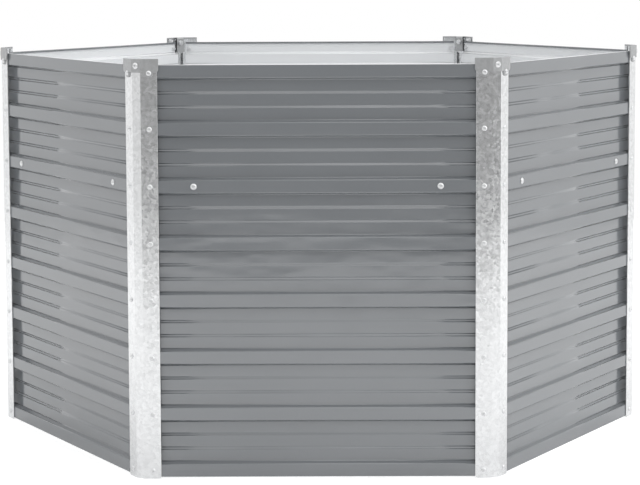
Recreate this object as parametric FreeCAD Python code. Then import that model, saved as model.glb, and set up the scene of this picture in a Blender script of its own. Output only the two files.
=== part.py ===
import FreeCAD, Part
import math
import os

# Hexagonal raised garden bed with no bottom. Millimetres, +Z up. The origin is at the
# middle of the bed, on the ground. One side panel faces the front, which is -Y.

# --- the bed as a whole ---
CORNERS = ("right", "back_right", "back_left", "left", "front_left", "front_right")
PANELS = ("back_right", "back", "back_left", "front_left", "front", "front_right")
CORNER_TO_CORNER = 1290.0        # across two opposite posts, over their middle faces
RIM_HEIGHT = 752.0               # top edge of the side panels above the ground
GROUND_CLEARANCE = 3.0           # bottom edge of the side panels above the ground

# --- corner posts: folded strips outside the panels ---
POST_SHEET = 1.0
POST_MIDDLE_WIDTH = 18.0
POST_FLANGE = 30.0
POST_BEND_RADIUS = 1.0
POST_HEM_LEG = 8.0               # folded back behind each long edge of the post
POST_HEM_GAP = 0.4
POST_FOOT_ROUNDING = 5.0

# --- side panels: corrugated sheets ---
PANEL_SHEET = 0.6
PANEL_SLOT = 18.0                # between two neighbouring panels, at the bottom of their ribs
CREST_COUNT = 8
CREST_FLAT = 24.0
SHOULDER_DEPTH = 9.0             # from the crests back to the plain bands
GROOVE_DEPTH = 1.2               # from the plain bands back to the middle band
CREST_FLANK = 3.0                # height that the sloped side of a crest takes
GROOVE_FLANK = 4.0
PANEL_BEND_RADIUS = 1.2
RIM_HEM_GAP = 1.8
RIM_HEM_LEG = 4.0

# --- top brackets: clips over the head of each post ---
BRACKET_SHEET = 2.0
BRACKET_ABOVE_RIM = 10.5
BRACKET_BELOW_RIM = 14.0
BRACKET_WING = 33.0
BRACKET_CORNER_ROUNDING = 6.0
BRACKET_LUG_RADIUS = 8.0         # tongue of a wing around the top screw of the post
BRACKET_TAB_WIDTH = 17.0
BRACKET_TAB_BELOW_RIM = 23.0
BRACKET_TAB_GAP = 4.0            # from the inner face of the post to the tab behind it
BRACKET_BEND_RADIUS = 1.0

# --- corner braces: strips across each corner, inside ---
BRACE_SHEET = 2.0
BRACE_WIDTH = 18.0
BRACE_REACH = 102.0              # from the corner to the brace's bolt, along the panel
BRACE_PAD = 26.0
BRACE_BEND_RADIUS = 2.0
BRACE_CREST = 3                  # crest that holds the brace, counted from the rim

# --- fasteners ---
SCREW_DIAMETER = 5.0
SCREW_HEAD_DIAMETER = 9.5
SCREW_HEAD_HEIGHT = 2.8
SCREW_NUT_WIDTH = 8.0
SCREW_NUT_HEIGHT = 4.0
TOP_SCREW_BELOW_RIM = 15.0       # the other screws are at mid-height of their crests
BOLT_DIAMETER = 6.0
BOLT_HEAD_DIAMETER = 11.5
BOLT_HEAD_HEIGHT = 3.2
BOLT_NUT_WIDTH = 10.0
BOLT_NUT_HEIGHT = 5.0
HOLE_CLEARANCE = 0.25            # all round a shank in a sheet
THREAD_CLEARANCE = 0.05          # all round a shank in a nut
THREAD_TIP = 1.5                 # shank that stands out of its nut
HEAD_RIM_SHARE = 0.3             # part of a head's height that is a straight rim
NUT_CHAMFER_SHARE = 0.12         # of a nut's height, at its outer corners

# --- worked out from the sizes above ---
SIDES = len(CORNERS)
STEP_ANGLE = 360.0 / SIDES
HALF_STEP = math.radians(STEP_ANGLE / 2.0)
CORNER_RADIUS = CORNER_TO_CORNER / 2.0
POST_HEM_THICKNESS = 2.0 * POST_SHEET + POST_HEM_GAP
# distances of the parallel planes from the bed's axis, along a panel's normal
FLANGE_PLANE = CORNER_RADIUS * math.cos(HALF_STEP) + POST_MIDDLE_WIDTH / 2.0 * math.sin(HALF_STEP)
CREST_PLANE = FLANGE_PLANE - POST_HEM_THICKNESS
CREST_INSIDE = CREST_PLANE - PANEL_SHEET
SHOULDER_PLANE = CREST_PLANE - SHOULDER_DEPTH
GROOVE_PLANE = SHOULDER_PLANE - GROOVE_DEPTH
# distances along a panel from its middle
FLANGE_BEND = FLANGE_PLANE * math.tan(HALF_STEP) - POST_MIDDLE_WIDTH / 2.0 / math.cos(HALF_STEP)
SCREW_COLUMN = FLANGE_BEND - POST_FLANGE / 2.0
PANEL_HALF_WIDTH = GROOVE_PLANE * math.tan(HALF_STEP) - PANEL_SLOT / 2.0 / math.cos(HALF_STEP)
BRACE_COLUMN = CREST_PLANE * math.tan(HALF_STEP) - BRACE_REACH
# heights
CREST_PITCH = (RIM_HEIGHT - GROUND_CLEARANCE - CREST_FLAT) / (CREST_COUNT - 1)
BRACKET_TOP = RIM_HEIGHT + BRACKET_ABOVE_RIM
BRACKET_BOTTOM = RIM_HEIGHT - BRACKET_BELOW_RIM
BRACKET_BOLT_HEIGHT = (BRACKET_TOP + BRACKET_BOTTOM) / 2.0
POST_TOP = BRACKET_TOP - BRACKET_SHEET - BRACKET_BEND_RADIUS
# the post's screws are all as long as the thickest stack needs
SCREW_GRIP = POST_HEM_THICKNESS + PANEL_SHEET
SCREW_LENGTH = BRACKET_SHEET + SCREW_GRIP + SCREW_NUT_HEIGHT + THREAD_TIP
BRACE_BOLT_GRIP = PANEL_SHEET + BRACE_SHEET
BRACKET_BOLT_GRIP = BRACKET_SHEET + POST_SHEET + BRACKET_TAB_GAP + BRACKET_SHEET

AXIS_X = FreeCAD.Vector(1, 0, 0)
AXIS_Y = FreeCAD.Vector(0, 1, 0)
AXIS_Z = FreeCAD.Vector(0, 0, 1)
ORIGIN = FreeCAD.Vector(0, 0, 0)
SAME_POINT = 1e-6


def crest_bottom(number):
    """Height of the lower edge of a crest's flat, where crest 1 is at the rim."""
    return GROUND_CLEARANCE + (CREST_COUNT - number) * CREST_PITCH


def crest_middle(number):
    """Height of the middle of a crest's flat."""
    return crest_bottom(number) + CREST_FLAT / 2.0


def screw_height(number):
    """Height of the post's screws on a crest. The top pair also holds the bracket's lugs."""
    return RIM_HEIGHT - TOP_SCREW_BELOW_RIM if number == 1 else crest_middle(number)


def line_edges(start, end):
    """One straight edge, or none where the two points meet."""
    if start.distanceToPoint(end) < SAME_POINT:
        return []
    return [Part.LineSegment(start, end).toShape()]


def bent_sheet(corners, thickness):
    """Section of a folded sheet in the XY plane.

    corners holds (x, y, inside radius) along one face of the sheet, which lies to the
    left of the way they run. The two ends have no bend, so their radius isn't used.
    """
    points = [FreeCAD.Vector(x, y, 0) for x, y, _ in corners]
    ways = [(after - before).normalize() for before, after in zip(points, points[1:])]
    lefts = [AXIS_Z.cross(way) for way in ways]
    near, far = [], []
    near_at = points[0]
    far_at = points[0] + lefts[0] * thickness
    first_cap = line_edges(far_at, near_at)
    for index in range(1, len(points) - 1):
        way_in, way_out = ways[index - 1], ways[index]
        left_in, left_out = lefts[index - 1], lefts[index]
        turns_left = left_in.dot(way_out) > 0
        inside = corners[index][2]
        radius = inside + thickness if turns_left else inside
        length = radius * math.tan(way_in.getAngle(way_out) / 2.0)
        start = points[index] - way_in * length
        end = points[index] + way_out * length
        side = 1.0 if turns_left else -1.0
        centre = start + left_in * side * radius
        outward = (left_in + left_out).normalize() * -side
        far_radius = radius - side * thickness
        near += line_edges(near_at, start)
        near.append(Part.Arc(start, centre + outward * radius, end).toShape())
        far_start = start + left_in * thickness
        far_end = end + left_out * thickness
        far += line_edges(far_at, far_start)
        far.append(Part.Arc(far_start, centre + outward * far_radius, far_end).toShape())
        near_at, far_at = end, far_end
    near_end = points[-1]
    far_end = points[-1] + lefts[-1] * thickness
    near += line_edges(near_at, near_end)
    far += line_edges(far_at, far_end)
    far.reverse()
    edges = first_cap + near + line_edges(near_end, far_end) + far
    return Part.Face(Part.Wire(Part.__sortEdges__(edges)))


def fold_back(x, y, way_in, thickness, gap, leg):
    """Corners of a closed hem to the left, at the end of a run that arrives at (x, y)."""
    left = AXIS_Z.cross(way_in)
    end = FreeCAD.Vector(x, y, 0)
    turned = end + left * (2.0 * thickness + gap)
    tip = turned - way_in * leg
    return [(end.x, end.y, gap / 2.0), (turned.x, turned.y, gap / 2.0), (tip.x, tip.y, 0.0)]


def turned(shape, steps):
    """A copy of a shape, turned about the bed's axis by a number of sides."""
    copy = shape.copy()
    copy.rotate(ORIGIN, AXIS_Z, steps * STEP_ANGLE)
    return copy


def at_flange(shape, side, out, along, height):
    """A copy of a shape, whose +X points out of a panel, moved beside the corner at +X.

    side is 1 or -1 for the panel to the left or right of the corner. out is the distance
    from the bed's axis along the panel's normal, and along runs from the panel's middle
    towards the corner.
    """
    copy = shape.copy()
    copy.translate(FreeCAD.Vector(out, -side * along, height))
    copy.rotate(ORIGIN, AXIS_Z, side * STEP_ANGLE / 2.0)
    return copy


def drill(diameter, length):
    """A hole's tool along X, centred on the origin."""
    radius = diameter / 2.0 + HOLE_CLEARANCE
    return Part.makeCylinder(radius, length, FreeCAD.Vector(-length / 2.0, 0, 0), AXIS_X)


def side_panel():
    """The panel that faces +X: a ribbed sheet with a closed hem along its rim."""
    bottom = GROUND_CLEARANCE
    band = (CREST_PITCH - CREST_FLAT - 2.0 * CREST_FLANK - 2.0 * GROOVE_FLANK) / 3.0
    bend = PANEL_BEND_RADIUS
    # the section is drawn with height along x and distance from the bed's axis along -y
    section = [(bottom, -CREST_PLANE, 0.0)]
    for number in range(CREST_COUNT, 1, -1):
        height = crest_bottom(number) + CREST_FLAT
        section.append((height, -CREST_PLANE, bend))
        height += CREST_FLANK
        section.append((height, -SHOULDER_PLANE, bend))
        height += band
        section.append((height, -SHOULDER_PLANE, bend))
        height += GROOVE_FLANK
        section.append((height, -GROOVE_PLANE, bend))
        height += band
        section.append((height, -GROOVE_PLANE, bend))
        height += GROOVE_FLANK
        section.append((height, -SHOULDER_PLANE, bend))
        height += band
        section.append((height, -SHOULDER_PLANE, bend))
        height += CREST_FLANK
        section.append((height, -CREST_PLANE, bend))
    section += fold_back(RIM_HEIGHT, -CREST_PLANE, AXIS_X, PANEL_SHEET, RIM_HEM_GAP, RIM_HEM_LEG)
    face = bent_sheet(section, PANEL_SHEET)
    # stand the section up: x becomes height and -y becomes the way out of the bed
    face.rotate(ORIGIN, AXIS_Z, 90)
    face.rotate(ORIGIN, AXIS_X, 90)
    face.translate(FreeCAD.Vector(0, PANEL_HALF_WIDTH, 0))
    panel = face.extrude(FreeCAD.Vector(0, -2.0 * PANEL_HALF_WIDTH, 0))
    holes = []
    screw_hole = drill(SCREW_DIAMETER, 4.0 * SCREW_LENGTH)
    bolt_hole = drill(BOLT_DIAMETER, 4.0 * SCREW_LENGTH)
    for way in (1, -1):
        for number in range(1, CREST_COUNT + 1):
            hole = screw_hole.copy()
            hole.translate(FreeCAD.Vector(CREST_PLANE, way * SCREW_COLUMN, screw_height(number)))
            holes.append(hole)
        hole = bolt_hole.copy()
        hole.translate(FreeCAD.Vector(CREST_PLANE, way * BRACE_COLUMN, crest_middle(BRACE_CREST)))
        holes.append(hole)
    return panel.cut(holes)


def corner_post():
    """The post at the +X corner: a middle face and two flanges with hemmed edges."""
    half = POST_MIDDLE_WIDTH / 2.0
    lean = HALF_STEP
    right_way = FreeCAD.Vector(math.sin(lean), math.cos(lean), 0)
    left_way = FreeCAD.Vector(-math.sin(lean), math.cos(lean), 0)
    right_bend = FreeCAD.Vector(CORNER_RADIUS, -half, 0)
    left_bend = FreeCAD.Vector(CORNER_RADIUS, half, 0)
    left_edge = left_bend + left_way * POST_FLANGE
    hem = fold_back(left_edge.x, left_edge.y, left_way, POST_SHEET, POST_HEM_GAP, POST_HEM_LEG)
    mirrored_hem = [(x, -y, radius) for x, y, radius in reversed(hem)]
    bends = [(right_bend.x, right_bend.y, POST_BEND_RADIUS), (left_bend.x, left_bend.y, POST_BEND_RADIUS)]
    face = bent_sheet(mirrored_hem + bends + hem, POST_SHEET)
    post = face.extrude(AXIS_Z * POST_TOP)
    tools = []
    screw_hole = drill(SCREW_DIAMETER, 4.0 * POST_HEM_THICKNESS)
    for side in (1, -1):
        for number in range(1, CREST_COUNT + 1):
            tools.append(at_flange(screw_hole, side, FLANGE_PLANE, SCREW_COLUMN, screw_height(number)))
        tools.append(at_flange(foot_rounding(side), side, FLANGE_PLANE, FLANGE_BEND - POST_FLANGE, 0.0))
    bolt_hole = drill(BOLT_DIAMETER, 4.0 * POST_SHEET)
    bolt_hole.translate(FreeCAD.Vector(CORNER_RADIUS, 0, BRACKET_BOLT_HEIGHT))
    tools.append(bolt_hole)
    return post.cut(tools)


def corner_waste(rounding, depth):
    """What a rounded corner takes off a sheet in the YZ plane whose corner is at the origin.

    The sheet lies on the +Y and +Z sides of the corner.
    """
    excess = 1.0
    block = Part.makeBox(depth, rounding + excess, rounding + excess,
                         FreeCAD.Vector(-depth / 2.0, -excess, -excess))
    round_part = Part.makeCylinder(rounding, depth, FreeCAD.Vector(-depth / 2.0, rounding, rounding), AXIS_X)
    keep = Part.makeBox(depth, 2.0 * rounding, 2.0 * rounding, FreeCAD.Vector(-depth / 2.0, rounding, 0))
    above = Part.makeBox(depth, 2.0 * rounding, 2.0 * rounding, FreeCAD.Vector(-depth / 2.0, 0, rounding))
    return block.cut([round_part, keep, above])


def foot_rounding(side):
    """What is taken off the lower corner of a post's flange."""
    waste = corner_waste(POST_FOOT_ROUNDING, 6.0 * POST_HEM_THICKNESS)
    if side > 0:
        waste = waste.mirror(ORIGIN, AXIS_Y)
    return waste


def top_bracket():
    """The clip over the post at the +X corner: two wings, a middle, a bridge and a tab."""
    half = POST_MIDDLE_WIDTH / 2.0
    grow = BRACKET_SHEET * math.tan(HALF_STEP / 2.0)
    outside = CORNER_RADIUS + BRACKET_SHEET
    wrap_radius = POST_BEND_RADIUS + POST_SHEET
    wing_end_x = outside - BRACKET_WING * math.sin(HALF_STEP)
    wing_end_y = half + grow + BRACKET_WING * math.cos(HALF_STEP)
    section = [
        (wing_end_x, -wing_end_y, 0.0),
        (outside, -half - grow, wrap_radius),
        (outside, half + grow, wrap_radius),
        (wing_end_x, wing_end_y, 0.0),
    ]
    clip = bent_sheet(section, BRACKET_SHEET).extrude(AXIS_Z * (BRACKET_TOP - BRACKET_BOTTOM))
    clip.translate(AXIS_Z * BRACKET_BOTTOM)
    parts = [bracket_hook()]
    tools = []
    lug = bracket_lug()
    screw_hole = drill(SCREW_DIAMETER, 4.0 * BRACKET_SHEET)
    waste = corner_waste(BRACKET_CORNER_ROUNDING, 4.0 * BRACKET_SHEET)
    # the end of a wing, as a distance from the panel's middle
    wing_end = FLANGE_BEND + grow - BRACKET_WING
    for side in (1, -1):
        parts.append(at_flange(lug, side, FLANGE_PLANE, SCREW_COLUMN, screw_height(1)))
        tools.append(at_flange(screw_hole, side, FLANGE_PLANE, SCREW_COLUMN, screw_height(1)))
        corner = waste.mirror(ORIGIN, AXIS_Y) if side > 0 else waste
        tools.append(at_flange(corner, side, FLANGE_PLANE, wing_end, BRACKET_BOTTOM))
    bolt_hole = drill(BOLT_DIAMETER, 4.0 * (BRACKET_BOLT_GRIP + BRACKET_SHEET))
    bolt_hole.translate(FreeCAD.Vector(CORNER_RADIUS, 0, BRACKET_BOLT_HEIGHT))
    tools.append(bolt_hole)
    return clip.fuse(parts).removeSplitter().cut(tools)


def bracket_lug():
    """Rounded tongue of a wing, flat on the plane x = 0, centred on its screw."""
    rise = BRACKET_BOTTOM - screw_height(1) + BRACKET_CORNER_ROUNDING
    disc = Part.makeCylinder(BRACKET_LUG_RADIUS, BRACKET_SHEET, ORIGIN, AXIS_X)
    root = Part.makeBox(BRACKET_SHEET, 2.0 * BRACKET_LUG_RADIUS, rise,
                        FreeCAD.Vector(0, -BRACKET_LUG_RADIUS, 0))
    return disc.fuse(root)


def bracket_hook():
    """Bridge over the post's head and the tab that hangs behind it, inside the bed."""
    outside = CORNER_RADIUS + BRACKET_SHEET
    tab_inside = CORNER_RADIUS - POST_SHEET - BRACKET_TAB_GAP - BRACKET_SHEET
    tab_bottom = RIM_HEIGHT - BRACKET_TAB_BELOW_RIM
    # drawn with distance from the bed's axis along x and height along y
    section = [
        (outside, BRACKET_BOTTOM, 0.0),
        (outside, BRACKET_TOP, BRACKET_BEND_RADIUS),
        (tab_inside, BRACKET_TOP, BRACKET_BEND_RADIUS),
        (tab_inside, tab_bottom, 0.0),
    ]
    face = bent_sheet(section, BRACKET_SHEET)
    face.rotate(ORIGIN, AXIS_X, 90)
    face.translate(AXIS_Y * (BRACKET_TAB_WIDTH / 2.0))
    return face.extrude(AXIS_Y * -BRACKET_TAB_WIDTH)


def corner_brace():
    """The strip across the +X corner, whose two pads lie inside a crest of each panel."""
    corner = CREST_INSIDE / math.cos(HALF_STEP)
    bend_away = BRACE_REACH - BRACE_PAD / 2.0
    end_away = BRACE_REACH + BRACE_PAD / 2.0
    bend_x = corner - bend_away * math.sin(HALF_STEP)
    bend_y = bend_away * math.cos(HALF_STEP)
    end_x = corner - end_away * math.sin(HALF_STEP)
    end_y = end_away * math.cos(HALF_STEP)
    section = [
        (end_x, -end_y, 0.0),
        (bend_x, -bend_y, BRACE_BEND_RADIUS),
        (bend_x, bend_y, BRACE_BEND_RADIUS),
        (end_x, end_y, 0.0),
    ]
    strip = bent_sheet(section, BRACE_SHEET).extrude(AXIS_Z * BRACE_WIDTH)
    strip.translate(AXIS_Z * (crest_middle(BRACE_CREST) - BRACE_WIDTH / 2.0))
    hole = drill(BOLT_DIAMETER, 6.0 * BRACE_SHEET)
    holes = []
    for side in (1, -1):
        holes.append(at_flange(hole, side, CREST_INSIDE, BRACE_COLUMN, crest_middle(BRACE_CREST)))
    return strip.cut(holes)


def fastener(diameter, head_diameter, head_height, length):
    """A round-headed screw along X. Its head stands on the plane x = 0, on the +X side."""
    head_radius = head_diameter / 2.0
    rim = head_height * HEAD_RIM_SHARE
    dome = head_height - rim
    # the dome is a circle's arc through its top and its rim
    dome_radius = (head_radius ** 2 + dome ** 2) / (2.0 * dome)
    half_angle = math.asin(head_radius / dome_radius) / 2.0
    middle_x = head_height - dome_radius * (1.0 - math.cos(half_angle))
    middle_y = dome_radius * math.sin(half_angle)
    top = FreeCAD.Vector(head_height, 0, 0)
    middle = FreeCAD.Vector(middle_x, middle_y, 0)
    shoulder = FreeCAD.Vector(rim, head_radius, 0)
    under_rim = FreeCAD.Vector(0, head_radius, 0)
    neck = FreeCAD.Vector(0, diameter / 2.0, 0)
    tip_rim = FreeCAD.Vector(-length, diameter / 2.0, 0)
    tip = FreeCAD.Vector(-length, 0, 0)
    edges = [Part.Arc(top, middle, shoulder).toShape()]
    straight = [shoulder, under_rim, neck, tip_rim, tip, top]
    for start, end in zip(straight, straight[1:]):
        edges.append(Part.LineSegment(start, end).toShape())
    return Part.Face(Part.Wire(edges)).revolve(ORIGIN, AXIS_X, 360)


def hexagon_nut(width, height, bore):
    """A nut along X that sits on the plane x = 0, on the -X side."""
    corner_radius = width / 2.0 / math.cos(math.pi / 6.0)
    chamfer = height * NUT_CHAMFER_SHARE
    ring = [FreeCAD.Vector(0, corner_radius * math.cos(math.radians(angle)),
                           corner_radius * math.sin(math.radians(angle))) for angle in range(0, 361, 60)]
    prism = Part.Face(Part.makePolygon(ring)).extrude(AXIS_X * -height)
    edge_radius = corner_radius - 2.0 * chamfer
    lower = Part.makeCone(edge_radius, corner_radius, chamfer, AXIS_X * -height, AXIS_X)
    body = Part.makeCylinder(corner_radius, height - chamfer, AXIS_X * (chamfer - height), AXIS_X)
    hole = Part.makeCylinder(bore / 2.0 + THREAD_CLEARANCE, 3.0 * height, AXIS_X * (-2.0 * height), AXIS_X)
    return prism.common(lower.fuse(body).removeSplitter()).cut(hole)


def post_fasteners(piece, seat_plane, lug_lift):
    """One post's fasteners in two columns, with the top pair lifted by the bracket."""
    group = []
    for side in (1, -1):
        for number in range(1, CREST_COUNT + 1):
            lift = lug_lift if number == 1 else 0.0
            group.append(at_flange(piece, side, seat_plane + lift, SCREW_COLUMN, screw_height(number)))
    return Part.makeCompound(group)


def brace_fasteners(piece, seat_plane):
    """The pair of fasteners that hold the brace at the +X corner."""
    height = crest_middle(BRACE_CREST)
    return Part.makeCompound([at_flange(piece, side, seat_plane, BRACE_COLUMN, height) for side in (1, -1)])


def corner_pieces():
    """Every kind of piece that each corner has, made for the +X corner."""
    screw = fastener(SCREW_DIAMETER, SCREW_HEAD_DIAMETER, SCREW_HEAD_HEIGHT, SCREW_LENGTH)
    screw_nut = hexagon_nut(SCREW_NUT_WIDTH, SCREW_NUT_HEIGHT, SCREW_DIAMETER)
    bolt_length = BRACE_BOLT_GRIP + BOLT_NUT_HEIGHT + THREAD_TIP
    bolt = fastener(BOLT_DIAMETER, BOLT_HEAD_DIAMETER, BOLT_HEAD_HEIGHT, bolt_length)
    bolt_nut = hexagon_nut(BOLT_NUT_WIDTH, BOLT_NUT_HEIGHT, BOLT_DIAMETER)
    return {
        "corner_post": corner_post(),
        "top_bracket": top_bracket(),
        "corner_brace": corner_brace(),
        "post_screws": post_fasteners(screw, FLANGE_PLANE, BRACKET_SHEET),
        "post_nuts": post_fasteners(screw_nut, CREST_INSIDE, 0.0),
        "brace_bolts": brace_fasteners(bolt, CREST_PLANE),
        "brace_nuts": brace_fasteners(bolt_nut, CREST_INSIDE - BRACE_SHEET),
    }


def bracket_bolt():
    """The bolt through the bracket's middle, the post and the tab at the +X corner."""
    length = BRACKET_BOLT_GRIP + BOLT_NUT_HEIGHT + THREAD_TIP
    bolt = fastener(BOLT_DIAMETER, BOLT_HEAD_DIAMETER, BOLT_HEAD_HEIGHT, length)
    bolt.translate(FreeCAD.Vector(CORNER_RADIUS + BRACKET_SHEET, 0, BRACKET_BOLT_HEIGHT))
    return bolt


def bracket_nut():
    """The nut on the tab's face inside the bed, at the +X corner."""
    nut = hexagon_nut(BOLT_NUT_WIDTH, BOLT_NUT_HEIGHT, BOLT_DIAMETER)
    seat = CORNER_RADIUS + BRACKET_SHEET - BRACKET_BOLT_GRIP
    nut.translate(FreeCAD.Vector(seat, 0, BRACKET_BOLT_HEIGHT))
    return nut


def bed():
    """Every sub-part of the bed in its place, by name."""
    pieces = {}
    panel = side_panel()
    for steps, place in enumerate(PANELS):
        pieces["side_panel_" + place] = turned(panel, steps + 0.5)
    for kind, shape in corner_pieces().items():
        for steps, place in enumerate(CORNERS):
            pieces[kind + "_" + place] = turned(shape, steps)
    for name, shape in (("bracket_bolts", bracket_bolt()), ("bracket_nuts", bracket_nut())):
        pieces[name] = Part.makeCompound([turned(shape, steps) for steps in range(SIDES)])
    return pieces


def main():
    os.makedirs("parts", exist_ok=True)
    for name, shape in bed().items():
        shape.exportStep("parts/" + name + ".step")
        box = shape.BoundBox
        print(name, "solids", len(shape.Solids), "valid", shape.isValid(),
              "x %.1f..%.1f y %.1f..%.1f z %.1f..%.1f" % (box.XMin, box.XMax, box.YMin, box.YMax,
                                                          box.ZMin, box.ZMax))


main()
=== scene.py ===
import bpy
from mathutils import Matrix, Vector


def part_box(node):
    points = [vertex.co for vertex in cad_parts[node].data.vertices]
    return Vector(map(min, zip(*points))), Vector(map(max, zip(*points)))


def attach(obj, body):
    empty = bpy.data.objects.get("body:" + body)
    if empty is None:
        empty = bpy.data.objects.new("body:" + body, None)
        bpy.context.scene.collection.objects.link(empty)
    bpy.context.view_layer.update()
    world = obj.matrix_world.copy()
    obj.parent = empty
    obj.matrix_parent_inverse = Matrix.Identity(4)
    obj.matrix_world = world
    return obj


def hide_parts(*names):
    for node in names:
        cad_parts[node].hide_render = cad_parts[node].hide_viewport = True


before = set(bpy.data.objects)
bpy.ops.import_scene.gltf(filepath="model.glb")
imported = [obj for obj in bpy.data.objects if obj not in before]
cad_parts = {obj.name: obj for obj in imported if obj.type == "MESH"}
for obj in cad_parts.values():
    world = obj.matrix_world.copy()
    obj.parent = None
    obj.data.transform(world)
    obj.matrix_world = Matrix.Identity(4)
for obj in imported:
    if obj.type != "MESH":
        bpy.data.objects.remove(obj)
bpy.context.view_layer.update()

import math

import bmesh
import bpy
from mathutils import Euler, Matrix, Vector

# Raised garden bed: six ribbed side panels in folded zinc posts. Metres, +Z up, front on -Y.

MM = 0.001
CORNERS = ("right", "back_right", "back_left", "left", "front_left", "front_right")
PANELS = ("back_right", "back", "back_left", "front_left", "front", "front_right")
STEP = math.radians(60.0)
HALF_STEP = STEP / 2.0

# --- sizes of the panels' section ---
PANEL_SHEET = 0.6 * MM
CREST_COUNT = 8
CREST_FLAT = 24.0 * MM
SHOULDER_DEPTH = 9.0 * MM
GROOVE_DEPTH = 1.2 * MM
CREST_FLANK = 3.0 * MM
GROOVE_FLANK = 4.0 * MM
CREST_BEND = 1.6 * MM
GROOVE_BEND = 8.0 * MM
BEND_STEPS = 4
RIM_HEM_GAP = 1.8 * MM
RIM_HEM_LEG = 4.0 * MM
FOLD_AREA = 0.0008               # square metres; smaller faces belong to a fold and are shaded smooth
SAME_LINE = 0.1 * MM             # ends of neighbouring ribs that are one point
SAME_EDGE = 0.01 * MM            # edges of the outer side and the wall that are one edge

# --- places read from the frame ---
front_low, front_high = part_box("side_panel_front")
CREST_PLANE = -front_low.y
PANEL_BOTTOM = front_low.z
RIM = front_high.z
PANEL_HALF_WIDTH = front_high.x
CREST_PITCH = (RIM - PANEL_BOTTOM - CREST_FLAT) / (CREST_COUNT - 1)

CORNER_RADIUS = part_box("corner_post_right")[1].x
bolt_low, bolt_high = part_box("bracket_bolts")
BRACKET_BOLT_HEIGHT = (bolt_low.z + bolt_high.z) / 2.0

# --- sizes of what the fasteners hold ---
POST_SHEET = 1.0 * MM
POST_HEM = 2.4 * MM
POST_MIDDLE = 18.0 * MM
POST_FLANGE = 30.0 * MM
BRACKET_SHEET = 2.0 * MM
BRACKET_TAB_GAP = 4.0 * MM
BRACE_SHEET = 2.0 * MM
BRACE_REACH = 102.0 * MM
BRACE_CREST = 3
TOP_SCREW_BELOW_RIM = 15.0 * MM

# --- fasteners ---
HEAD_SIDES = 12
HEAD_RIM_SHARE = 0.3             # part of a head's height that is a straight rim
DOME_RISE, DOME_REACH = 0.84, 0.62   # of a head's height and radius, where its dome turns
RECESS_MOUTH, RECESS_FLOOR = 0.93, 0.5   # of a head's height
RECESS_WING, RECESS_WAIST = 0.5, 0.22    # of a head's radius, at and between the cross's wings
RECESS_TAPER = 0.6               # of the mouth's width, at the floor
NUT_SHOULDER = 0.86              # of a nut's height, where its chamfer starts
NUT_FACE = 0.97                  # of a nut's half width, at the end of its chamfer
SCREW_HEAD_RADIUS = 4.75 * MM
SCREW_HEAD_HEIGHT = 2.8 * MM
SCREW_RADIUS = 2.5 * MM
SCREW_NUT_WIDTH = 8.0 * MM
SCREW_NUT_HEIGHT = 4.0 * MM
BOLT_HEAD_RADIUS = 5.75 * MM
BOLT_HEAD_HEIGHT = 3.2 * MM
BOLT_RADIUS = 3.0 * MM
BOLT_NUT_WIDTH = 10.0 * MM
BOLT_NUT_HEIGHT = 5.0 * MM
THREAD_TIP = 1.5 * MM

# --- planes, columns and grips worked out from the sizes above ---
FLANGE_PLANE = CREST_PLANE + POST_HEM
CREST_INSIDE = CREST_PLANE - PANEL_SHEET
FLANGE_BEND = FLANGE_PLANE * math.tan(HALF_STEP) - POST_MIDDLE / 2.0 / math.cos(HALF_STEP)
SCREW_COLUMN = FLANGE_BEND - POST_FLANGE / 2.0
BRACE_COLUMN = CREST_PLANE * math.tan(HALF_STEP) - BRACE_REACH
SCREW_LENGTH = BRACKET_SHEET + POST_HEM + PANEL_SHEET + SCREW_NUT_HEIGHT + THREAD_TIP
BRACE_BOLT_LENGTH = PANEL_SHEET + BRACE_SHEET + BOLT_NUT_HEIGHT + THREAD_TIP
BRACKET_GRIP = BRACKET_SHEET + POST_SHEET + BRACKET_TAB_GAP + BRACKET_SHEET
BRACKET_BOLT_LENGTH = BRACKET_GRIP + BOLT_NUT_HEIGHT + THREAD_TIP


# ------------------------------------------------------------------ node helpers

class Nodes:
    """Short calls for adding and joining the nodes of one tree."""

    def __init__(self, tree):
        self.nodes = tree.nodes
        self.links = tree.links

    def node(self, kind, inputs=None, **settings):
        made = self.nodes.new(kind)
        for key, value in settings.items():
            setattr(made, key, value)
        for key, value in (inputs or {}).items():
            self.put(made.inputs[key], value)
        return made

    def put(self, socket, value):
        if isinstance(value, bpy.types.NodeSocket):
            self.links.new(value, socket)
        else:
            socket.default_value = value

    def math(self, operation, one, other=0.0):
        return self.node("ShaderNodeMath", {0: one, 1: other}, operation=operation).outputs[0]

    def spread(self, value, low, high, to_low, to_high, **settings):
        inputs = {"Value": value, "From Min": low, "From Max": high, "To Min": to_low, "To Max": to_high}
        return self.node("ShaderNodeMapRange", inputs, **settings).outputs["Result"]


class Finish(Nodes):
    """A node material."""

    def __init__(self, name):
        self.material = bpy.data.materials.new(name)
        self.material.use_nodes = True
        super().__init__(self.material.node_tree)
        self.shader = self.nodes["Principled BSDF"]

    def coordinates(self):
        return self.node("ShaderNodeTexCoord").outputs["Object"]

    def noise(self, scale, detail, roughness, vector):
        inputs = {"Vector": vector, "Scale": scale, "Detail": detail, "Roughness": roughness}
        return self.node("ShaderNodeTexNoise", inputs).outputs["Fac"]

    def mix(self, factor, one, other):
        node = self.node("ShaderNodeMix", data_type="RGBA")
        self.put(node.inputs["Factor"], factor)
        self.put(node.inputs["A"], one)
        self.put(node.inputs["B"], other)
        return node.outputs["Result"]

    def bump(self, height, distance, strength=1.0, normal=None):
        inputs = {"Height": height, "Distance": distance, "Strength": strength}
        if normal:
            inputs["Normal"] = normal
        return self.node("ShaderNodeBump", inputs).outputs["Normal"]


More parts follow.
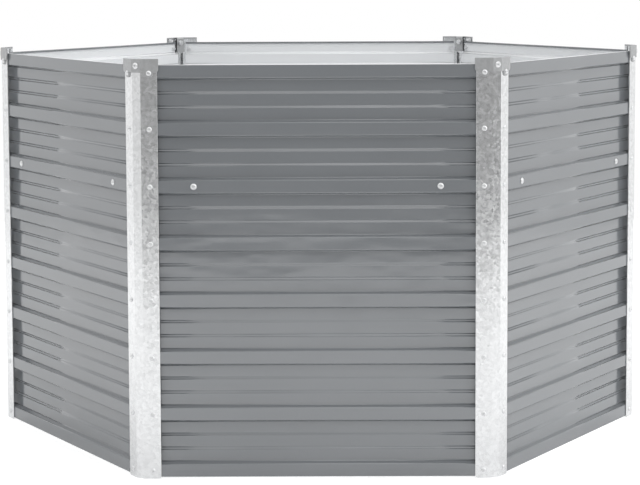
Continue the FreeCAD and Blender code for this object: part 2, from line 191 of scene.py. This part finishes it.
def grey(level, blue):
    """A grey given as it looks on screen (0 to 1), as a linear colour with a little blue."""
    def linear(value):
        return value / 12.92 if value <= 0.04045 else ((value + 0.055) / 1.055) ** 2.4
    return (linear(level - blue), linear(level), linear(level + blue), 1.0)


# ------------------------------------------------------------------ finishes

def coated_sheet():
    """Glossy grey coating outside, pale reverse coat inside, on slightly wavy sheet. The pale coat also
    stands on the outer half of the rim's rounded top as a painted highlight.
    """
    finish = Finish("coated_sheet")
    place = finish.coordinates()
    stretch = (1.0, 1.0, 2.5)
    stretched = finish.node("ShaderNodeMapping", {"Vector": place, "Scale": stretch}).outputs["Vector"]
    drift = finish.noise(3.0, 2.0, 0.5, stretched)
    speck = finish.noise(900.0, 2.0, 0.6, place)
    outer = finish.mix(finish.spread(drift, 0.3, 0.7, 0.0, 1.0), grey(0.450, 0.014), grey(0.470, 0.014))
    outer = finish.mix(finish.spread(speck, 0.35, 0.65, 0.0, 0.06), outer, grey(0.56, 0.01))
    # the pale coat goes on the reverse side and, as a painted highlight, on the outer half of the rim's
    # rounded top
    reverse = finish.node("ShaderNodeAttribute", attribute_name="reverse_side").outputs["Fac"]
    colour = finish.mix(reverse, outer, grey(0.915, 0.007))
    finish.put(finish.shader.inputs["Base Color"], colour)
    grease = finish.noise(14.0, 4.0, 0.6, place)
    finish.put(finish.shader.inputs["Roughness"], finish.spread(grease, 0.3, 0.7, 0.09, 0.16))
    wave = finish.noise(7.0, 2.0, 0.5, stretched)
    peel = finish.noise(260.0, 2.0, 0.5, place)
    rough = finish.bump(peel, 0.00002)
    finish.put(finish.shader.inputs["Normal"], finish.bump(wave, 0.002, 0.6, rough))
    finish.shader.inputs["IOR"].default_value = 2.0
    return finish.material


def spangled_zinc(name, level, cell, shine, spangle):
    """Hot-dip zinc: crystals that differ a little in tone, shine and tilt, and fine drag lines."""
    finish = Finish(name)
    place = finish.coordinates()
    warp = finish.node("ShaderNodeTexNoise", {"Vector": place, "Scale": 40.0, "Detail": 2.0})
    bent = finish.node("ShaderNodeVectorMath", operation="MULTIPLY_ADD")
    finish.put(bent.inputs[0], warp.outputs["Color"])
    bent.inputs[1].default_value = (0.012, 0.012, 0.012)
    finish.put(bent.inputs[2], place)
    crystals = finish.node("ShaderNodeTexVoronoi", {"Vector": bent.outputs[0], "Scale": 1.0 / cell})
    tone = finish.node("ShaderNodeSeparateColor", {"Color": crystals.outputs["Color"]})
    darker = grey(level - 0.03 * spangle, 0.004)
    lighter = grey(level + 0.02 * spangle, 0.004)
    finish.put(finish.shader.inputs["Base Color"], finish.mix(tone.outputs["Red"], darker, lighter))
    rough = finish.spread(tone.outputs["Green"], 0.0, 1.0, shine, shine + 0.10 * spangle)
    finish.put(finish.shader.inputs["Roughness"], rough)
    finish.shader.inputs["Metallic"].default_value = 1.0
    facing = finish.node("ShaderNodeNewGeometry").outputs["Normal"]
    lean = finish.node("ShaderNodeVectorMath", operation="MULTIPLY_ADD")
    finish.put(lean.inputs[0], crystals.outputs["Color"])
    tilt = 0.035 * spangle
    lean.inputs[1].default_value = (tilt, tilt, tilt)
    lean.inputs[2].default_value = (-tilt / 2.0, -tilt / 2.0, -tilt / 2.0)
    tilted = finish.node("ShaderNodeVectorMath", operation="ADD")
    finish.put(tilted.inputs[0], facing)
    finish.put(tilted.inputs[1], lean.outputs[0])
    upright = finish.node("ShaderNodeVectorMath", operation="NORMALIZE")
    finish.put(upright.inputs[0], tilted.outputs[0])
    drag = finish.node("ShaderNodeMapping", {"Vector": place, "Scale": (1.0, 1.0, 0.05)}).outputs["Vector"]
    lines = finish.noise(700.0, 2.0, 0.5, drag)
    finish.put(finish.shader.inputs["Normal"], finish.bump(lines, 0.00003, 1.0, upright.outputs[0]))
    return finish.material


# ------------------------------------------------------------------ geometry-node trees

class Tree(Nodes):
    """A geometry-node tree with named inputs."""

    def __init__(self, name):
        self.group = bpy.data.node_groups.new(name, "GeometryNodeTree")
        super().__init__(self.group)
        self.values = {}
        self.group.interface.new_socket("Geometry", in_out="INPUT", socket_type="NodeSocketGeometry")
        self.group.interface.new_socket("Geometry", in_out="OUTPUT", socket_type="NodeSocketGeometry")
        self.start = self.node("NodeGroupInput")
        self.end = self.node("NodeGroupOutput")

    def value(self, name, kind, amount):
        """Adds a named input and remembers what it is set to."""
        socket = self.group.interface.new_socket(name, in_out="INPUT", socket_type="NodeSocket" + kind)
        self.values[socket.identifier] = amount
        return self.start.outputs[name]

    def attribute(self, name):
        """A number that the mesh carries under this name."""
        return self.node("GeometryNodeInputNamedAttribute", {"Name": name}, data_type="FLOAT").outputs[0]

    def merged(self, geometry, distance):
        """The geometry with points that lie this close together made one."""
        inputs = {"Geometry": geometry, "Distance": distance}
        return self.node("GeometryNodeMergeByDistance", inputs).outputs[0]

    def finish(self, geometry, material):
        """Ends the tree with real geometry in its material."""
        real = self.node("GeometryNodeRealizeInstances", {"Geometry": geometry}).outputs[0]
        painted = self.node("GeometryNodeSetMaterial", {"Geometry": real, "Material": material}).outputs[0]
        self.put(self.end.inputs[0], painted)

    def grow(self, name, mesh):
        """Runs the tree on a mesh and returns the result as an object with a plain mesh."""
        carrier = bpy.data.objects.new(name, mesh)
        bpy.context.scene.collection.objects.link(carrier)
        modifier = carrier.modifiers.new(name, "NODES")
        modifier.node_group = self.group
        for identifier, amount in self.values.items():
            modifier[identifier] = amount
        bpy.context.view_layer.update()
        seen = carrier.evaluated_get(bpy.context.evaluated_depsgraph_get())
        result = bpy.data.meshes.new_from_object(seen)
        carrier.modifiers.remove(modifier)
        carrier.data = result
        result.name = name
        return carrier


# ------------------------------------------------------------------ panels

def fold_line(points):
    """A mesh of one open line. points holds (height, depth behind the crests, bend radius)."""
    mesh = bpy.data.meshes.new("fold_line")
    corners = [(0.0, depth, height) for height, depth, _ in points]
    edges = [(index, index + 1) for index in range(len(points) - 1)]
    mesh.from_pydata(corners, edges, [])
    bend = mesh.attributes.new("bend", "FLOAT", "POINT")
    bend.data.foreach_set("value", [radius for _, _, radius in points])
    return mesh


def rib_points():
    """One pitch of the section, from the lower edge of a crest to the lower edge of the next."""
    band = (CREST_PITCH - CREST_FLAT - 2.0 * CREST_FLANK - 2.0 * GROOVE_FLANK) / 3.0
    groove = SHOULDER_DEPTH + GROOVE_DEPTH
    steps = (
        (0.0, 0.0, CREST_BEND), (CREST_FLAT, 0.0, CREST_BEND),
        (CREST_FLANK, SHOULDER_DEPTH, CREST_BEND), (band, SHOULDER_DEPTH, GROOVE_BEND),
        (GROOVE_FLANK, groove, GROOVE_BEND), (band, groove, GROOVE_BEND),
        (GROOVE_FLANK, SHOULDER_DEPTH, GROOVE_BEND), (band, SHOULDER_DEPTH, CREST_BEND),
        (CREST_FLANK, 0.0, CREST_BEND),
    )
    height = 0.0
    points = []
    for rise, depth, bend in steps:
        height += rise
        points.append((height, depth, bend + PANEL_SHEET / 2.0))
    return points


def rim_points():
    """The rim crest and its closed hem, above the last full pitch."""
    start = (CREST_COUNT - 1) * CREST_PITCH
    top = RIM - PANEL_BOTTOM
    hem = 2.0 * PANEL_SHEET + RIM_HEM_GAP
    return [
        (start, 0.0, CREST_BEND + PANEL_SHEET / 2.0), (top, 0.0, hem / 2.0), (top, hem, hem / 2.0),
        (top - RIM_HEM_LEG, hem, 0.0),
    ]


def linked(name, mesh):
    """An object in the scene for a mesh."""
    helper = bpy.data.objects.new(name, mesh)
    bpy.context.scene.collection.objects.link(helper)
    return helper


def ribbed_panel_tree(material, rib, rim):
    """Repeats the rib up the panel, adds the rim, rounds the folds and gives the sheet its wall."""
    tree = Tree("ribbed_panel")
    count = tree.value("Ribs", "Int", CREST_COUNT - 1)
    pitch = tree.value("Pitch", "Float", CREST_PITCH)
    half_width = tree.value("Half width", "Float", PANEL_HALF_WIDTH)
    sheet = tree.value("Sheet", "Float", PANEL_SHEET)
    rib_line = tree.node("GeometryNodeObjectInfo", {"Object": rib}).outputs["Geometry"]
    rim_line = tree.node("GeometryNodeObjectInfo", {"Object": rim}).outputs["Geometry"]
    rise = tree.node("ShaderNodeCombineXYZ", {"Z": pitch}).outputs[0]
    ladder = tree.node("GeometryNodeMeshLine", {"Count": count, "Offset": rise}).outputs[0]
    ribs = tree.node("GeometryNodeInstanceOnPoints", {"Points": ladder, "Instance": rib_line}).outputs[0]
    ribs = tree.node("GeometryNodeRealizeInstances", {"Geometry": ribs}).outputs[0]
    join = tree.node("GeometryNodeJoinGeometry")
    tree.put(join.inputs[0], rim_line)
    tree.put(join.inputs[0], ribs)
    whole = tree.merged(join.outputs[0], SAME_LINE)
    line = tree.node("GeometryNodeMeshToCurve", {"Mesh": whole}).outputs[0]
    bend = tree.attribute("bend")
    rounded = tree.node("GeometryNodeFilletCurve", {"Curve": line, "Radius": bend}, mode="POLY")
    tree.put(rounded.inputs["Count"], BEND_STEPS)
    tree.put(rounded.inputs["Limit Radius"], True)
    edge = tree.node("GeometryNodeCurveToMesh", {"Curve": rounded.outputs[0]}).outputs[0]
    shift = tree.node("ShaderNodeCombineXYZ", {"X": tree.math("MULTIPLY", half_width, -1.0)}).outputs[0]
    edge = tree.node("GeometryNodeTransform", {"Geometry": edge, "Translation": shift}).outputs[0]
    across = tree.node("ShaderNodeCombineXYZ", {"X": tree.math("MULTIPLY", half_width, 2.0)}).outputs[0]
    sweep = {"Mesh": edge, "Offset": across, "Offset Scale": 1.0}
    outer = tree.node("GeometryNodeExtrudeMesh", sweep, mode="EDGES").outputs["Mesh"]
    wall = {"Mesh": outer, "Offset Scale": tree.math("MULTIPLY", sheet, -1.0), "Individual": False}
    inner = tree.node("GeometryNodeExtrudeMesh", wall, mode="FACES")
    marked = tree.node("GeometryNodeStoreNamedAttribute",
                       {"Geometry": inner.outputs["Mesh"], "Selection": inner.outputs["Top"],
                        "Name": "reverse_side", "Value": 1.0}, data_type="FLOAT", domain="FACE").outputs[0]
    turned = tree.node("GeometryNodeFlipFaces", {"Mesh": marked}).outputs[0]
    shell = tree.node("GeometryNodeJoinGeometry")
    tree.put(shell.inputs[0], turned)
    tree.put(shell.inputs[0], outer)
    closed = tree.merged(shell.outputs[0], SAME_EDGE)
    # the pale coat is also painted on the outer half of the rim's rounded top, as a painted highlight
    coated = tree.node("GeometryNodeStoreNamedAttribute",
                       {"Geometry": closed, "Name": "reverse_side", "Value": pale_coat_and_painted_highlight(tree)},
                       data_type="FLOAT", domain="FACE").outputs[0]
    area = tree.node("GeometryNodeInputMeshFaceArea").outputs[0]
    narrow = tree.node("FunctionNodeCompare", {"A": area, "B": FOLD_AREA}, operation="LESS_THAN").outputs[0]
    folds = tree.node("GeometryNodeSetShadeSmooth", {"Geometry": coated, "Shade Smooth": narrow})
    tree.finish(folds.outputs[0], material)
    return tree


def pale_coat_and_painted_highlight(tree):
    """1 where the pale coat is drawn: on the reverse side, and on the outer half of the rim's rounded top,
    where it is a painted highlight in place of the grey outer coat.
    """
    hem = 2.0 * PANEL_SHEET + RIM_HEM_GAP
    top = RIM - PANEL_BOTTOM
    place = tree.node("GeometryNodeInputPosition").outputs[0]
    split = tree.node("ShaderNodeSeparateXYZ", {"Vector": place})
    depth, height = split.outputs["Y"], split.outputs["Z"]
    high = tree.math("GREATER_THAN", height, top - hem / 4.0)
    # painted highlight: the outer half of the rim's rounded top, drawn in the pale coat
    painted_rim_highlight = tree.math("MULTIPLY", high, tree.math("LESS_THAN", depth, hem / 2.0))
    return tree.math("MAXIMUM", tree.attribute("reverse_side"), painted_rim_highlight)


def side_panels(material):
    """All six panels, each in the place of its node."""
    rib = linked("rib_line", fold_line(rib_points()))
    rim = linked("rim_line", fold_line(rim_points()))
    tree = ribbed_panel_tree(material, rib, rim)
    for index, place in enumerate(PANELS):
        name = "side_panel_" + place
        panel = tree.grow("ribbed_" + name, bpy.data.meshes.new("start"))
        turn = Matrix.Rotation((index + 0.5) * STEP + math.pi / 2.0, 4, "Z")
        panel.data.transform(turn @ Matrix.Translation((0.0, -CREST_PLANE, PANEL_BOTTOM)))
        finish_piece(panel, [name])
    for helper in (rib, rim):
        bpy.data.objects.remove(helper)


def finish_piece(piece, nodes):
    """Puts a finished piece on the frame in the place of its nodes."""
    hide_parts(*nodes)
    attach(piece, "root")


# ------------------------------------------------------------------ fasteners

def crest_middle(number):
    """Height of the middle of a crest, where crest 1 is at the rim."""
    return PANEL_BOTTOM + (CREST_COUNT - number) * CREST_PITCH + CREST_FLAT / 2.0


def ring(mesh, out, radii):
    """A closed ring of vertices around the X axis, one for each radius."""
    points = []
    for index, radius in enumerate(radii):
        angle = 2.0 * math.pi * index / len(radii)
        points.append(mesh.verts.new((out, radius * math.cos(angle), radius * math.sin(angle))))
    return points


def join_rings(mesh, rings):
    """Bands of faces between neighbouring rings."""
    for one, other in zip(rings, rings[1:]):
        for index in range(len(one)):
            after = (index + 1) % len(one)
            mesh.faces.new((one[index], one[after], other[after], other[index]))


def finished_model(name, mesh):
    """A mesh with its faces outwards, as an object that only feeds a tree."""
    bmesh.ops.recalc_face_normals(mesh, faces=mesh.faces)
    data = bpy.data.meshes.new(name)
    mesh.to_mesh(data)
    mesh.free()
    return linked(name, data)


def headed_model(name, head_radius, head_height, shank_radius, length):
    """A round-headed screw along X with a cross recess, seated on x = 0."""
    sides = HEAD_SIDES
    # each wing of the cross ends at one vertex of the ring, and the others lie near its middle
    shares = [RECESS_WING if index % 3 == 0 else RECESS_WAIST for index in range(sides)]
    cross = [share * head_radius for share in shares]
    mesh = bmesh.new()
    rings = [
        ring(mesh, RECESS_FLOOR * head_height, [RECESS_TAPER * radius for radius in cross]),
        ring(mesh, RECESS_MOUTH * head_height, cross),
        ring(mesh, DOME_RISE * head_height, [DOME_REACH * head_radius] * sides),
        ring(mesh, HEAD_RIM_SHARE * head_height, [head_radius] * sides),
        ring(mesh, 0.0, [head_radius] * sides),
        ring(mesh, 0.0, [shank_radius] * sides),
        ring(mesh, -length, [shank_radius] * sides),
    ]
    join_rings(mesh, rings)
    mesh.faces.new(rings[0])
    mesh.faces.new(rings[-1])
    return finished_model(name, mesh)


def nut_model(name, width, height, bore_radius):
    """A chamfered hexagon nut along X, seated on x = 0 on its inner side."""
    flat = width / 2.0
    corner = flat / math.cos(math.pi / 6.0)
    hexagon = [corner if index % 2 == 0 else flat for index in range(HEAD_SIDES)]
    mesh = bmesh.new()
    rings = [
        ring(mesh, 0.0, [bore_radius] * HEAD_SIDES),
        ring(mesh, 0.0, hexagon),
        ring(mesh, -NUT_SHOULDER * height, hexagon),
        ring(mesh, -height, [NUT_FACE * flat] * HEAD_SIDES),
        ring(mesh, -height, [bore_radius] * HEAD_SIDES),
    ]
    join_rings(mesh, rings + rings[:1])
    return finished_model(name, mesh)


def flange_seats(plane, column, heights):
    """Seats on both panels of every corner, as (place, turn about the bed's axis)."""
    seats = []
    for corner in range(len(CORNERS)):
        for side in (1, -1):
            turn = corner * STEP + side * HALF_STEP
            for height in heights:
                place = Matrix.Rotation(turn, 3, "Z") @ Vector((plane, -side * column, height))
                seats.append((place, turn))
    return seats


def corner_seats(plane, height):
    """Seats on the middle face of every corner, as (place, turn about the bed's axis)."""
    turns = [corner * STEP for corner in range(len(CORNERS))]
    return [(Matrix.Rotation(turn, 3, "Z") @ Vector((plane, 0.0, height)), turn) for turn in turns]


def seat_mesh(seats):
    """A mesh of loose points that carry their turn."""
    mesh = bpy.data.meshes.new("seats")
    mesh.from_pydata([place for place, _ in seats], [], [])
    turn = mesh.attributes.new("turn", "FLOAT", "POINT")
    turn.data.foreach_set("value", [angle for _, angle in seats])
    return mesh


def fastened_tree(material, model):
    """Sets one model on every seat, driven home at its own angle."""
    tree = Tree("fastened")
    seed = tree.value("Seed", "Int", 7)
    full_turn = tree.value("Full turn", "Float", 2.0 * math.pi)
    shape = tree.node("GeometryNodeObjectInfo", {"Object": model}).outputs["Geometry"]
    turn = tree.attribute("turn")
    drive = tree.node("FunctionNodeRandomValue", data_type="FLOAT")
    for socket in drive.inputs:
        if socket.name == "Max" and socket.type == "VALUE":
            tree.put(socket, full_turn)
    tree.put(drive.inputs["Seed"], seed)
    driven = [socket for socket in drive.outputs if socket.type == "VALUE"][0]
    facing = tree.node("ShaderNodeCombineXYZ", {"X": driven, "Z": turn}).outputs[0]
    points = tree.node("GeometryNodeMeshToPoints", {"Mesh": tree.start.outputs["Geometry"]}).outputs[0]
    seating = {"Points": points, "Instance": shape, "Rotation": facing}
    placed = tree.node("GeometryNodeInstanceOnPoints", seating)
    tree.finish(placed.outputs[0], material)
    return tree


def fasteners(material):
    """All screws, bolts and nuts. Each kind is one piece in the place of its nodes."""
    lower = [crest_middle(number) for number in range(2, CREST_COUNT + 1)]
    top = [RIM - TOP_SCREW_BELOW_RIM]
    brace = [crest_middle(BRACE_CREST)]
    outer_corner = CORNER_RADIUS + BRACKET_SHEET
    screw_seats = flange_seats(FLANGE_PLANE, SCREW_COLUMN, lower)
    screw_seats += flange_seats(FLANGE_PLANE + BRACKET_SHEET, SCREW_COLUMN, top)
    screw_size = (SCREW_HEAD_RADIUS, SCREW_HEAD_HEIGHT, SCREW_RADIUS, SCREW_LENGTH)
    brace_size = (BOLT_HEAD_RADIUS, BOLT_HEAD_HEIGHT, BOLT_RADIUS, BRACE_BOLT_LENGTH)
    bracket_size = (BOLT_HEAD_RADIUS, BOLT_HEAD_HEIGHT, BOLT_RADIUS, BRACKET_BOLT_LENGTH)
    screw_nut = (SCREW_NUT_WIDTH, SCREW_NUT_HEIGHT, SCREW_RADIUS)
    bolt_nut = (BOLT_NUT_WIDTH, BOLT_NUT_HEIGHT, BOLT_RADIUS)
    kinds = (
        ("post_screws", headed_model, screw_size, screw_seats),
        ("post_nuts", nut_model, screw_nut, flange_seats(CREST_INSIDE, SCREW_COLUMN, lower + top)),
        ("brace_bolts", headed_model, brace_size, flange_seats(CREST_PLANE, BRACE_COLUMN, brace)),
        ("brace_nuts", nut_model, bolt_nut, flange_seats(CREST_INSIDE - BRACE_SHEET, BRACE_COLUMN, brace)),
        ("bracket_bolts", headed_model, bracket_size, corner_seats(outer_corner, BRACKET_BOLT_HEIGHT)),
        ("bracket_nuts", nut_model, bolt_nut, corner_seats(outer_corner - BRACKET_GRIP, BRACKET_BOLT_HEIGHT)),
    )
    for kind, build, size, seats in kinds:
        model = build(kind + "_model", *size)
        piece = fastened_tree(material, model).grow("all_" + kind, seat_mesh(seats))
        bpy.data.objects.remove(model)
        nodes = [kind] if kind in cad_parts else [kind + "_" + corner for corner in CORNERS]
        finish_piece(piece, nodes)


# ------------------------------------------------------------------ studio

def camera():
    """The photograph's camera, which stands a little right of the middle and looks down."""
    focal_pixels = 2191.99
    frame_width, frame_height = 640.0, 485.0
    axis_row = 178.5
    yaw, pitch, roll = 0.00542738, 0.0984466, -0.00419746
    data = bpy.data.cameras.new("camera")
    data.sensor_width = 36.0
    data.lens = focal_pixels / frame_width * data.sensor_width
    data.shift_y = (axis_row - frame_height / 2.0) / frame_width
    data.clip_end = 100.0
    eye = bpy.data.objects.new("camera", data)
    eye.location = (0.02655, -4.47176, 0.93329)
    level = Euler((math.pi / 2.0 - pitch, 0.0, yaw)).to_matrix()
    eye.rotation_euler = (level @ Matrix.Rotation(roll, 3, "Z")).to_euler()
    bpy.context.scene.collection.objects.link(eye)
    bpy.context.scene.camera = eye


def studio():
    """A white surround with a darker room behind the camera, and a pale floor."""
    world = bpy.data.worlds.new("studio")
    bpy.context.scene.world = world
    world.use_nodes = True
    sky = Nodes(world.node_tree)
    way = sky.node("ShaderNodeSeparateXYZ", {0: sky.node("ShaderNodeTexCoord").outputs["Generated"]})
    light = surround(sky, way)
    # the camera sees a white background all round, and metal and coat see it behind the bed
    behind_from, behind_to = 0.0, 0.3
    camera_ray, mirror_ray = ray_kinds(sky)
    behind = soft_step(sky, way.outputs["Y"], behind_from, behind_to, 0.0, 1.0)
    seen = sky.math("MAXIMUM", camera_ray, sky.math("MULTIPLY", mirror_ray, behind))
    light = sky.node("ShaderNodeMapRange", {"Value": seen, "To Min": light, "To Max": 1.0}).outputs[0]
    background = sky.nodes["Background"]
    background.inputs["Color"].default_value = (1.0, 1.0, 1.0, 1.0)
    sky.put(background.inputs["Strength"], light)
    pale_floor()


def soft_step(tree, value, low, high, to_low, to_high):
    """A smooth change from one number to another while a value runs from low to high."""
    return tree.spread(value, low, high, to_low, to_high, interpolation_type="SMOOTHSTEP")


def ray_kinds(tree):
    """1 for rays from the camera, and 1 for rays that metal, coat or glass sends on."""
    path = tree.node("ShaderNodeLightPath")
    mirrored = tree.math("MAXIMUM", path.outputs["Is Glossy Ray"], path.outputs["Is Transmission Ray"])
    return path.outputs["Is Camera Ray"], mirrored


def surround(sky, way):
    """Strength of the light from every direction, with directions in degrees and 0 at the front."""
    room_left, room_right, room_top = -52.0, 76.0, 13.0
    blur = 8.0
    room_level, top_level = 0.34, 1.22
    top_from, top_to = 20.0, 60.0
    left_wall, right_wall, wall_reach = 0.82, 1.8, 0.8
    ahead = sky.math("MULTIPLY", way.outputs["Y"], -1.0)
    turn = sky.math("DEGREES", sky.math("ARCTAN2", way.outputs["X"], ahead))
    rise = sky.math("DEGREES", sky.math("ARCSINE", way.outputs["Z"]))
    room = soft_step(sky, turn, room_left - blur, room_left + blur, 0.0, 1.0)
    for angle, limit in ((turn, room_right), (rise, room_top)):
        room = sky.math("MULTIPLY", room, soft_step(sky, angle, limit - blur, limit + blur, 1.0, 0.0))
    wall = soft_step(sky, way.outputs["X"], -wall_reach, wall_reach, left_wall, right_wall)
    high = soft_step(sky, rise, top_from, top_to, 0.0, 1.0)
    light = sky.node("ShaderNodeMapRange", {"Value": high, "To Min": wall, "To Max": top_level}).outputs[0]
    return sky.node("ShaderNodeMapRange", {"Value": room, "To Min": light, "To Max": room_level}).outputs[0]


def pale_floor():
    """A round floor that keeps the bed's shadow and looks white beyond it."""
    radius, sides = 3.6, 96
    albedo, roughness = 0.9, 0.9
    camera_glow, mirror_glow = 0.4, 0.1
    disc = bmesh.new()
    bmesh.ops.create_circle(disc, cap_ends=True, radius=radius, segments=sides)
    mesh = bpy.data.meshes.new("floor")
    disc.to_mesh(mesh)
    disc.free()
    paint = Finish("floor_paint")
    paint.shader.inputs["Base Color"].default_value = (albedo, albedo, albedo, 1.0)
    paint.shader.inputs["Roughness"].default_value = roughness
    paint.shader.inputs["Emission Color"].default_value = (1.0, 1.0, 1.0, 1.0)
    camera_ray, mirror_ray = ray_kinds(paint)
    glow = paint.math("MULTIPLY", camera_ray, camera_glow)
    glow = paint.math("MAXIMUM", glow, paint.math("MULTIPLY", mirror_ray, mirror_glow))
    paint.put(paint.shader.inputs["Emission Strength"], glow)
    mesh.materials.append(paint.material)
    return linked("floor", mesh)


def repaint(node, material):
    """Gives a CAD node a finish."""
    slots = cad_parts[node].data.materials
    slots.clear()
    slots.append(material)


bpy.context.scene.view_settings.view_transform = "Standard"
camera()
studio()
coating = coated_sheet()
post_zinc = spangled_zinc("post_zinc", 0.90, 0.005, 0.17, 1.0)
bracket_zinc = spangled_zinc("bracket_zinc", 0.71, 0.004, 0.42, 0.8)
brace_zinc = spangled_zinc("brace_zinc", 0.78, 0.006, 0.32, 1.0)
fastener_zinc = spangled_zinc("fastener_zinc", 0.90, 0.002, 0.30, 0.5)
side_panels(coating)
fasteners(fastener_zinc)
for corner in CORNERS:
    repaint("corner_post_" + corner, post_zinc)
    repaint("top_bracket_" + corner, bracket_zinc)
    repaint("corner_brace_" + corner, brace_zinc)
